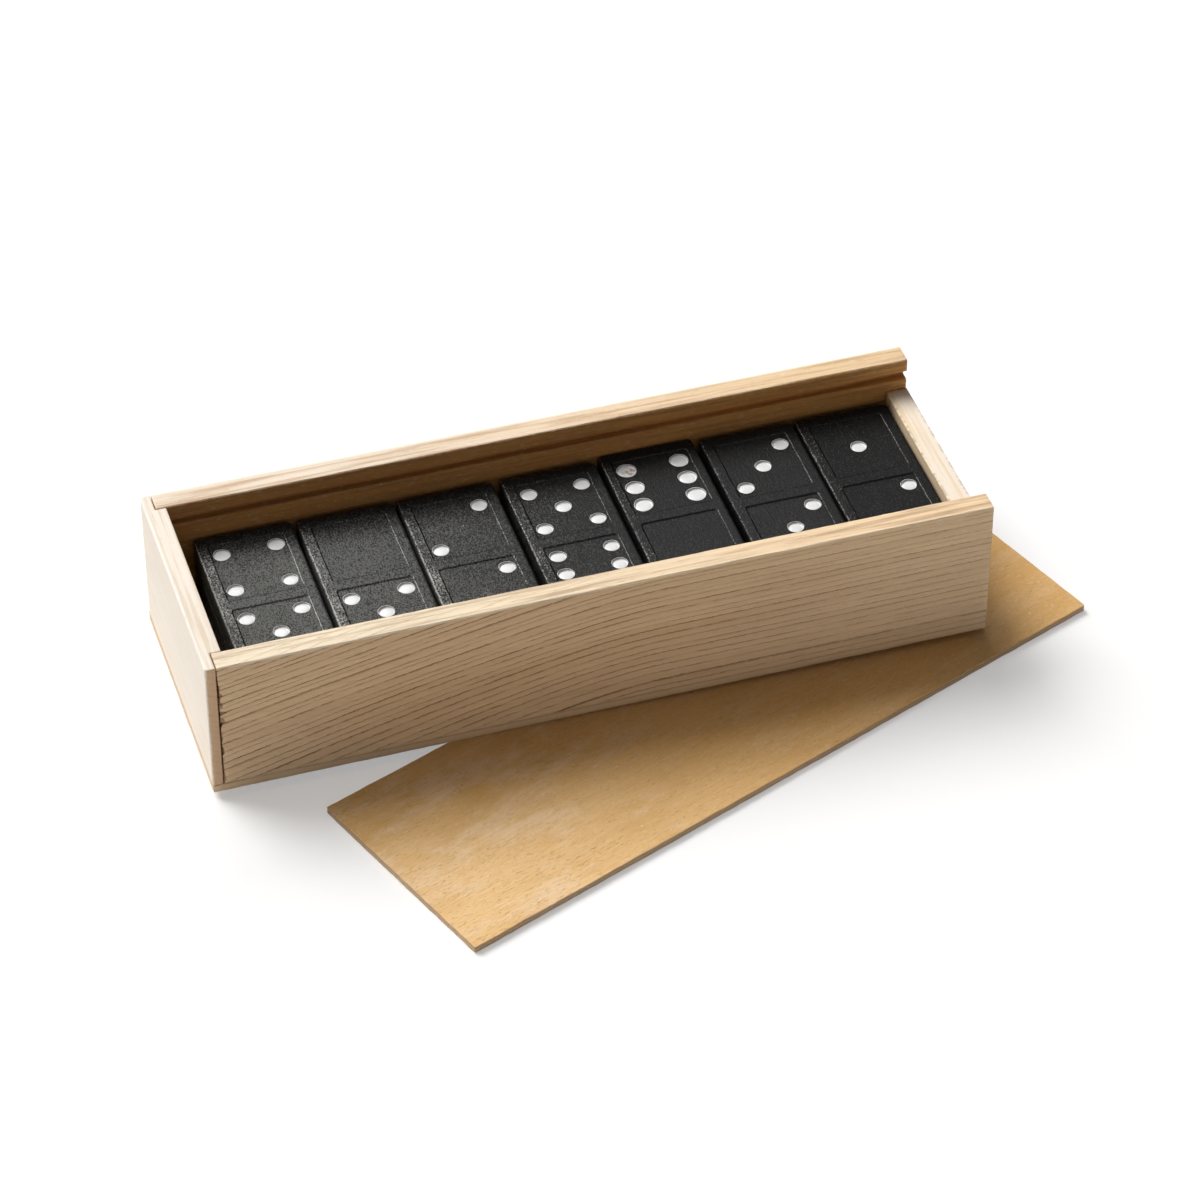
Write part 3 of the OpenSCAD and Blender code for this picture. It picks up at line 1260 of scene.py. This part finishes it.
def pip_paint_tree() -> NodeTree:
    """Geometry Nodes that drop paint in the pips that a domino has.

    The mesh holds a point for each place where a pip can be, with what picks it: half (0 rear,
    1 front), least (the count from which it is there) and odd (1 for the middle one).

    Returns:
        The tree, which ends in Realize Instances and Set Material.
    """
    tree = bpy.data.node_groups.new("Pip paint", "GeometryNodeTree")
    sockets = {
        "Geometry": "Geometry", "Rear Pips": "Int", "Front Pips": "Int", "Drop": "Object",
        "Drop Scale": "Float", "Seed": "Int", "Paint": "Material",
    }
    for name, kind in sockets.items():
        tree.interface.new_socket(name, in_out="INPUT", socket_type=f"NodeSocket{kind}")
    tree.interface.new_socket("Geometry", in_out="OUTPUT", socket_type="NodeSocketGeometry")
    g = Graph(tree)
    given = g.outputs(g.add("NodeGroupInput"))
    half, least, odd = (
        g.value("GeometryNodeInputNamedAttribute", {"Name": name}, data_type="FLOAT")
        for name in ("half", "least", "odd")
    )
    rear = given["Rear Pips"] * (1.0 - half)
    count = g.math("MULTIPLY_ADD", given["Front Pips"], half, rear)
    in_middle = odd * g.math("MODULO", count, 2.0)
    around = g.math("GREATER_THAN", count - least, -0.5) * (1.0 - odd)
    missing = g.math("LESS_THAN", in_middle + around, 0.5)
    sites = {"Geometry": given["Geometry"], "Selection": missing}
    kept = g.value("GeometryNodeDeleteGeometry", sites)
    drop = g.value("GeometryNodeObjectInfo", {"Object": given["Drop"]}, "Geometry")
    seed = given["Seed"]
    turn, size = (
        g.value("FunctionNodeRandomValue", between, data_type="FLOAT_VECTOR")
        for between in (
            {0: (0.0, 0.0, -0.6), 1: (0.0, 0.0, 0.6), "Seed": seed},
            {0: (0.95, 0.95, 1.0), 1: (1.03, 1.03, 1.0), "Seed": seed + 1.0},
        )
    )
    wide = given["Drop Scale"]
    flat = g.value("ShaderNodeCombineXYZ", {"X": wide, "Y": wide, "Z": 1.0})
    placed = g.value(
        "GeometryNodeInstanceOnPoints",
        {"Points": kept, "Instance": drop, "Rotation": turn, "Scale": size * flat},
    )
    real = g.value("GeometryNodeRealizeInstances", {0: placed})
    dressed = g.value("GeometryNodeSetMaterial", {"Geometry": real, "Material": given["Paint"]})
    g.add("NodeGroupOutput", {"Geometry": dressed})
    return tree


def helper_object(
    name: str, points: np.ndarray, faces: Sequence[tuple[int, ...]], **numbers: np.ndarray
) -> Object:
    """An object that is removed before the end, whose points carry numbers.

    Args:
        name: its name.
        points: its points.
        faces: its faces, if it has any.
        numbers: the numbers, by the name of their attribute.
    Returns:
        The object.
    """
    mesh = bpy.data.meshes.new(name)
    mesh.from_pydata(points.tolist(), [], faces)
    for key, values in numbers.items():
        mesh.attributes.new(key, "FLOAT", "POINT").data.foreach_set("value", values.tolist())
    if faces:
        mesh.shade_smooth()
    return add_object(name, mesh)


def oblong(half: tuple[float, float], radius: float, wave: float, seed: int) -> np.ndarray:
    """A rounded rectangle about the origin, whose sides dip in by up to wave."""
    outline = rectangle((-half[0], -half[1]), half, radius, 0.8 * MM)
    return uneven(outline, seed, 1.3 * MM, wave)


def encloses(outline: np.ndarray, point: Vector) -> bool:
    """Whether a flat outline goes around a point.

    Args:
        outline: the outline's points.
        point: the point.
    Returns:
        True if the point is inside.
    """
    (x0, y0), (x1, y1) = outline.T, np.roll(outline, -1, axis=0).T
    spans = (y0 > point.y) != (y1 > point.y)
    rise = np.where(spans, y1 - y0, 1.0)
    crossed = spans & (point.x < x0 + (x1 - x0) * (point.y - y0) / rise)
    return bool(np.count_nonzero(crossed) % 2)


class TileMesh:
    """A mesh of loops of points that carry their wear and painted highlight, and their painted
    shade.
    """

    def __init__(self) -> None:
        """Starts an empty mesh with the attributes that the paint reads."""
        self.bm = bmesh.new()
        self.rim, self.crease, _ = (
            self.bm.verts.layers.float.new(name) for name in ("rim", "crease", "chip")
        )

    def ring(self, points: np.ndarray, z: float, wear: Shares = 0.0, dark: Shares = 0.0) -> Ring:
        """Adds a loop of points.

        Args:
            points: the points.
            z: their height.
            wear: how rubbed they are, on the sides facing the light also a painted highlight.
            dark: how much painted shade they get.
        Returns:
            Their vertices.
        """
        verts = [self.bm.verts.new((x, y, z)) for x, y in points]
        shares = (np.broadcast_to(share, len(verts)) for share in (wear, dark))
        for vert, worn, in_shade in zip(verts, *shares):
            vert[self.rim], vert[self.crease] = worn, in_shade
        return verts

    def bridge(self, rings: Sequence[Ring]) -> None:
        """Adds the faces between each loop and the next one.

        Args:
            rings: the loops.
        """
        for low, high in zip(rings, rings[1:]):
            for i, j in pairs(len(low)):
                self.bm.faces.new((low[i], low[j], high[j], high[i]))

    def fill(self, rings: Sequence[Ring]) -> None:
        """Fills the flat between an outer loop and the loops inside it.

        Args:
            rings: the outer loop, then the others.
        """
        verts = [vert for ring in rings for vert in ring]
        edges: list[tuple[int, int]] = []
        for ring in rings:
            start = len(edges)
            edges += [(start + i, start + j) for i, j in pairs(len(ring))]
        flat = [vert.co.xy / MM for vert in verts]
        points, _, triangles, source, *_ = delaunay_2d_cdt(flat, edges, [], 1, 1e-6)
        holes = [np.array([vert.co.xy for vert in ring]) / MM for ring in rings[1:]]
        for triangle in triangles:
            middle = sum((points[i] for i in triangle), Vector((0, 0))) / 3
            if not any(encloses(hole, middle) for hole in holes):
                self.bm.faces.new([verts[source[i][0]] for i in triangle])


@dataclass
class DominoSet:
    """All dominoes of the set, each a painted wooden tile with pressed panels and sunk pips."""

    place: Place
    effects: Effects
    corner: float = 0.8 * MM
    shrink: float = 0.12 * MM
    arris: float = 0.58 * MM
    side_border: float = 2.3 * MM
    end_border: float = 2.6 * MM
    bar: float = 2.5 * MM
    panel_depth: float = 0.25 * MM
    panel_corner: float = 0.6 * MM
    step: float = 0.13 * MM
    strip: float = 0.46
    pip_radius: float = 1.6 * MM
    pip_floor: float = 1.46 * MM
    pip_depth: float = 0.55 * MM
    pip_step: float = 5.2 * MM
    big_pips: str = "tile_6_0"
    big_scale: float = 1.18
    chip_reach: float = 2.2 * MM
    side_wave: float = 0.03 * MM
    panel_wave: float = 0.1 * MM
    foot: float = 0.2 * MM
    brim: float = 0.12 * MM

    def pip_places(self, count: int) -> list[tuple[float, float]]:
        """The middles of a half's pips, in the same order for every count.

        Args:
            count: pips on the half.
        Returns:
            Places from the middle of the half.
        """
        s = self.pip_step
        places = [(-s, -s), (s, s)] if count > 1 else []
        places += [(s, -s), (-s, s)] if count > 3 else []
        places += [(-s, 0.0), (s, 0.0)] if count == 6 else []
        return places + ([(0.0, 0.0)] if count % 2 else [])

    def panel(self, size: Vector, half: Half, scale: float = 1.0) -> tuple[float, float, float]:
        """The place of a half's panel.

        Args:
            size: the domino's size.
            half: which half.
            scale: how much larger than usual its pips are, which pushes the panel's sides out.
        Returns:
            The panel's middle along the domino, its half width and its half length.
        """
        length = size.y / 2 - self.end_border - self.bar / 2
        wide = size.x / 2 - self.side_border + (scale - 1) * self.pip_radius
        return half.value * (self.bar / 2 + length / 2), wide, length / 2

    def pressed_half(
        self, mesh: TileMesh, size: Vector, half: Half, count: int, scale: float, seed: int
    ) -> Ring:
        """Adds a half's pressed panel with its sunk pips.

        Args:
            mesh: the domino's mesh.
            size: the domino's size.
            half: which half.
            count: its pips.
            scale: how much larger than usual they are.
            seed: picks the small unevennesses.
        Returns:
            The loop around the panel.
        """
        y, *reach = self.panel(size, half, scale)
        press = oblong(tuple(reach), self.panel_corner, self.panel_wave, seed)
        press += np.array((0.0, y))
        out = outward(press)
        right, rear = out.T
        front = half is Half.FRONT
        # painted highlight on the step's walls that face the light, and on the strip where it faces
        # left
        lit = np.clip(np.maximum(right, (0.1 if front else 0.5) * rear), 0.0, 1.0)
        # painted shade on the step's walls that face away from the light, and beside the bar
        shaded = np.clip(np.maximum(-right, -rear), 0.0, 1.0)
        shaded = np.maximum(shaded, 0.25 * front * np.clip(rear, 0.0, 1.0))
        left = self.strip * np.clip(-right, 0.0, 1.0)
        floor = size.z - self.panel_depth
        # each loop's shares: outwards, down, rubbed (with painted highlight), dark (painted shade),
        # pale facing left
        step = [
            mesh.ring(
                press + out * share * self.step, size.z - self.panel_depth * depth,
                wear * lit + pale * left, dark * shaded,
            )
            for share, depth, wear, dark, pale in (
                (2.1, 0.0, 0.0, 0.0, 1.0), (1.0, 0.0, 0.1, 1.0, 0.3), (0.45, 0.05, 1.0, 1.0, 0.0),
                (-0.3, 0.95, 0.4, 1.0, 0.0), (-0.7, 1.0, 0.0, 1.0, 0.0), (-1.4, 1.0, 0.0, 0.0, 0.0),
            )
        ]
        mesh.bridge(step)
        cups = []
        for px, py in self.pip_places(count):
            middle = np.array((px, py + y))
            # the cup's mouth is rubbed grey, partly a painted highlight of its lit rim
            cup = [
                mesh.ring(circle() * radius * scale + middle, floor - depth, wear)
                for radius, depth, wear in (
                    (self.pip_radius + 0.06 * MM, 0.0, 0.2),
                    (self.pip_radius, 0.03 * MM, 0.5),
                    (self.pip_radius - 0.04 * MM, 0.1 * MM, 0.2),
                    (self.pip_floor, self.pip_depth, 0.0),
                )
            ]
            mesh.bridge(cup)
            mesh.bm.faces.new(cup[-1])
            cups.append(cup[0])
        mesh.fill([step[-1], *cups])
        return step[0]

    def body(
        self, size: Vector, pips: Sequence[int], scale: float, seed: int
    ) -> bmesh.types.BMesh:
        """The wooden tile, from the middle of its underside.

        Args:
            size: its size.
            pips: pips on its rear and front halves.
            scale: how much larger than usual its pips are.
            seed: picks its small unevennesses.
        Returns:
            The mesh.
        """
        mesh = TileMesh()
        half_size = size.x / 2 - self.shrink, size.y / 2
        outline = oblong(half_size, self.corner, self.side_wave, seed)
        out = outward(outline)
        # the arrises that face the light are rubbed paler, partly a painted highlight
        facing_light = 0.15 + 0.85 * np.clip(-out[:, 0], 0.0, 1.0)
        # painted shade on the arrises that face away from the light
        in_shade = 0.9 * np.clip(out[:, 0], 0.0, 1.0)
        rings = [
            mesh.ring(outline - out * self.foot, 0.0, 0.0, in_shade),
            mesh.ring(outline, self.foot, 0.3 * facing_light, in_shade),
        ]
        for share in np.linspace(0, 1, 6):
            turn = share * math.pi / 2
            edge = outline - out * self.arris * (1 - math.cos(turn))
            wear = 0.88 * math.exp(-(((turn - 1.0) / 0.45) ** 2)) * facing_light
            z = size.z - self.arris * (1 - math.sin(turn))
            rings.append(mesh.ring(edge, z, wear, in_shade * (1 - 0.8 * share)))
        inner = outline - out * (self.arris + self.brim)
        rings.append(mesh.ring(inner, size.z, self.strip * facing_light, 0.05 * in_shade))
        mesh.bridge(rings)
        mesh.bm.faces.new(list(reversed(rings[0])))
        panels = [
            self.pressed_half(mesh, size, half, count, scale, seed + half.value + 2)
            for half, count in zip(Half, pips)
        ]
        mesh.fill([rings[-1], *panels])
        bmesh.ops.recalc_face_normals(mesh.bm, faces=mesh.bm.faces)
        return mesh.bm

    def drop(self) -> Object:
        """The drop of paint that every pip gets, over its floor and up its wall.

        Returns:
            A helper object. An attribute of its points marks a painted shade line at the wall's
            foot.
        """
        # radius and height in millimetres, and the share of the painted shade line
        profile = (
            (0.8, -0.29, 0.0), (1.15, -0.32, 0.0), (1.35, -0.38, 0.0), (1.42, -0.43, 1.0),
            (1.47, -0.42, 1.0), (1.5, -0.25, 1.0), (1.515, -0.08, 1.0), (1.53, -0.02, 0.3),
            (1.56, 0.012, 0.0), (1.62, 0.0, 0.0), (1.58, -0.08, 0.0), (1.15, -0.6, 0.0),
        )
        x, y = circle().T
        angle = np.arctan2(y, x)
        wave = 1 + 0.016 * np.sin(3 * angle) + 0.012 * np.sin(5 * angle + 1)
        lobed = circle() * wave[:, None]
        loops = [np.insert(radius * lobed, 2, z, axis=1) for radius, z, _ in profile]
        points = np.concatenate(([(0.0, 0.0, -0.28)], *loops)) * MM
        crease_shades = np.array([0.0, *(foot for *_, foot in profile for _ in range(SIDES))])
        last = len(points) - SIDES
        faces = [(0, 1 + i, 1 + j) for i, j in pairs(SIDES)]
        faces += [
            (start + i, start + SIDES + i, start + SIDES + j, start + j)
            for start in range(1, last, SIDES)
            for i, j in pairs(SIDES)
        ]
        faces.append(tuple(reversed(range(last, last + SIDES))))
        return helper_object("paint_drop", points, faces, crease=crease_shades)

    def sites(self, size: Vector) -> Object:
        """The points where a domino may have pips, with what picks each one.

        Args:
            size: the domino's size.
        Returns:
            A helper object with only points.
        """
        rows = [
            (x, y + self.panel(size, half)[0], size.z - self.panel_depth, index, count, count == 1)
            for index, half in enumerate(Half)
            for count, start in ((2, 0), (4, 2), (6, 4), (1, 0))
            for x, y in self.pip_places(count)[start:]
        ]
        table = np.array(rows, float)
        half_of, least, odd = table[:, 3:].T
        return helper_object("pip_sites", table[:, :3], [], half=half_of, least=least, odd=odd)

    def painted_pips(self, size: Vector, tree: NodeTree, values: dict[str, object]) -> Mesh:
        """The drops of paint of one domino, as a plain mesh.

        Args:
            size: the domino's size.
            tree: the Geometry Nodes that place them.
            values: what the tree's inputs get, by name.
        Returns:
            The mesh.
        """
        helper = self.sites(size)
        modifier = helper.modifiers.new("Pip paint", "NODES")
        modifier.node_group = tree
        for item in tree.interface.items_tree:
            if item.in_out == "INPUT" and item.name in values:
                modifier[item.identifier] = values[item.name]
        view = bpy.context.evaluated_depsgraph_get()
        mesh = bpy.data.meshes.new_from_object(helper.evaluated_get(view))
        bpy.data.objects.remove(helper)
        return mesh

    def chip(self, bm: bmesh.types.BMesh, size: Vector) -> None:
        """Marks the corner pip whose paint has chipped.

        Args:
            bm: the domino's mesh.
            size: the domino's size.
        """
        layer = bm.verts.layers.float["chip"]
        y = self.panel(size, Half.REAR)[0] + self.pip_step - 0.2 * MM
        spot = Vector((0.5 * MM - self.pip_step, y))
        for vert in bm.verts:
            vert[layer] = max(0.0, 1.0 - (vert.co.xy - spot).length / self.chip_reach)

    def build(self) -> None:
        """Builds and hands over every domino."""
        black = BlackPaint().material(self.effects, self.place)
        white = WhitePaint().material(self.place)
        tree, drop = pip_paint_tree(), self.drop()
        tiles = sorted(node for node in frame["nodes"] if node.startswith("tile_"))
        for seed, node in enumerate(tiles):
            pips = tuple(int(count) for count in node.split("_")[1:])
            low, high = self.place.box_of(node)
            size = high - low
            scale = self.big_scale if node == self.big_pips else 1.0
            bm = self.body(size, pips, scale, 100 + 10 * seed)
            wood = len(bm.faces)
            values = {"Rear Pips": pips[0], "Front Pips": pips[1], "Drop": drop, "Paint": white}
            paint = self.painted_pips(size, tree, {**values, "Drop Scale": scale, "Seed": seed})
            bm.from_mesh(paint)
            bpy.data.meshes.remove(paint)
            bm.faces.ensure_lookup_table()
            for face in bm.faces[wood:]:
                face.material_index = 1
            if node == self.big_pips:
                self.chip(bm, size)
            bm.transform(self.place.matrix() @ Matrix.Translation(self.place.seat_of(node)))
            name = node.replace("tile", "domino")
            mesh = bpy.data.meshes.new(name)
            bm.to_mesh(mesh)
            bm.free()
            hand_over(make_piece(name, mesh, [black, white]), node, node)
        bpy.data.objects.remove(drop)


# The studio


@dataclass(frozen=True)
class Lamp:
    """A far broad lamp, by how many degrees it stands right of the rear and above the floor."""

    name: str
    side: float
    height: float
    strength: float
    angle: float
    colour: Colour = (1.0, 1.0, 1.0)


@dataclass
class Studio:
    """A pale floor, soft light and the camera."""

    lamps: tuple[Lamp, ...] = (
        Lamp("key", -36.0, 46.0, 3.05, 36.0, (1.0, 0.99, 0.975)),
        Lamp("upper", -30.0, 66.0, 0.5, 40.0),
        Lamp("front", 180.0, 15.0, 0.3, 40.0),
    )
    softbox_at: Colour = (-0.02, 0.45, 0.45)
    softbox_power: float = 1.0
    softbox_size: float = 0.25
    fill: float = 0.03
    bounce: Colour = (0.92, 0.88, 0.82)
    tone: Colour = (0.67, 0.67, 0.67)
    # the floor's glow near the object, lower than far off: a painted soft shade round it
    shaded_near_glow: float = 0.355
    far_glow: float = 0.4
    floor_size: float = 6.0
    camera_at: Colour = (-0.209368, -0.596354, 0.601999)
    camera_turn: Colour = (0.831609, -0.015198, -0.305537)
    lens: float = 140.743

    def floor(self) -> None:
        """The pale floor, white to the camera, with the object's shadow and a painted shade round
        it.
        """
        far = self.floor_size / 2
        corners = ((-far, -far), (far, -far), (far, far), (-far, far))
        mesh = bpy.data.meshes.new("floor")
        mesh.from_pydata([(x, y, -0.02 * MM) for x, y in corners], [], [(0, 1, 2, 3)])
        material, g = new_material("Pale floor")
        g.tree.nodes.clear()
        seen = g.seen()
        tone = g.layers(self.bounce, (seen, self.tone))
        matt = g.value("ShaderNodeBsdfDiffuse", {"Color": tone})
        at = g.value("ShaderNodeTexCoord", output="Object") * (0.7, 1.0, 0.0)
        # the glow is lower close round the object, a painted soft shade
        glow = seen * g.fit(g.smooth(g.length(at), 0.06, 0.15), self.shaded_near_glow, self.far_glow)
        light = g.value("ShaderNodeEmission", {"Strength": glow})
        both = g.value("ShaderNodeAddShader", {0: matt, 1: light})
        g.add("ShaderNodeOutputMaterial", {"Surface": both})
        mesh.materials.append(material)
        floor = add_object("floor", mesh)

    def lights(self) -> None:
        """Broad lamps and a softbox that shows in the tiles' gloss."""
        for lamp in self.lamps:
            data = bpy.data.lights.new(lamp.name, "SUN")
            data.energy, data.color = lamp.strength, lamp.colour
            data.angle = math.radians(lamp.angle)
            turn = Euler((math.radians(lamp.height), 0.0, math.radians(-lamp.side)), "XYZ")
            toward = turn.to_matrix() @ Vector((0.0, 1.0, 0.0))
            light = add_object(lamp.name, data)
            light.rotation_euler = toward.to_track_quat("Z", "Y").to_euler()
        data = bpy.data.lights.new("softbox", "AREA")
        data.energy, data.size = self.softbox_power, self.softbox_size
        light = add_object("softbox", data)
        light.location = self.softbox_at
        light.rotation_euler = Vector(self.softbox_at).to_track_quat("Z", "Y").to_euler()

    def world(self) -> None:
        """An even fill from all round, white to the camera."""
        world = bpy.data.worlds.new("studio")
        bpy.context.scene.world = world
        world.use_nodes = True
        world.node_tree.nodes.clear()
        g = Graph(world.node_tree)
        strength = g.fit(g.seen("Is Transmission Ray"), self.fill, 1.0)
        white = {"Color": (1.0, 1.0, 1.0, 1.0)}
        sky = g.value("ShaderNodeBackground", {**white, "Strength": strength})
        g.add("ShaderNodeOutputWorld", {"Surface": sky})

    def camera(self) -> None:
        """The camera, in front of the box, left of it and above."""
        data = bpy.data.cameras.new("camera")
        data.sensor_fit, data.sensor_width, data.lens = "HORIZONTAL", 36.0, self.lens
        data.clip_start, data.clip_end = 0.01, 20.0
        camera = add_object("camera", data)
        camera.location = self.camera_at
        camera.rotation_euler = Euler(self.camera_turn)
        bpy.context.scene.camera = camera

    def build(self) -> None:
        """Builds the studio and sets how colours are shown."""
        self.floor()
        self.lights()
        self.world()
        self.camera()
        bpy.context.scene.view_settings.view_transform = "Standard"


def main() -> None:
    """Builds the object and the studio around it."""
    logging.basicConfig(level=logging.INFO, format="%(name)s: %(message)s")
    effects = Effects()
    box, lid = box_place(), lid_place()
    BoxBoards(box, effects).build()
    LooseLid(lid, effects).build()
    DominoSet(box, effects).build()
    Studio().build()


if __name__ == "__main__":
    main()
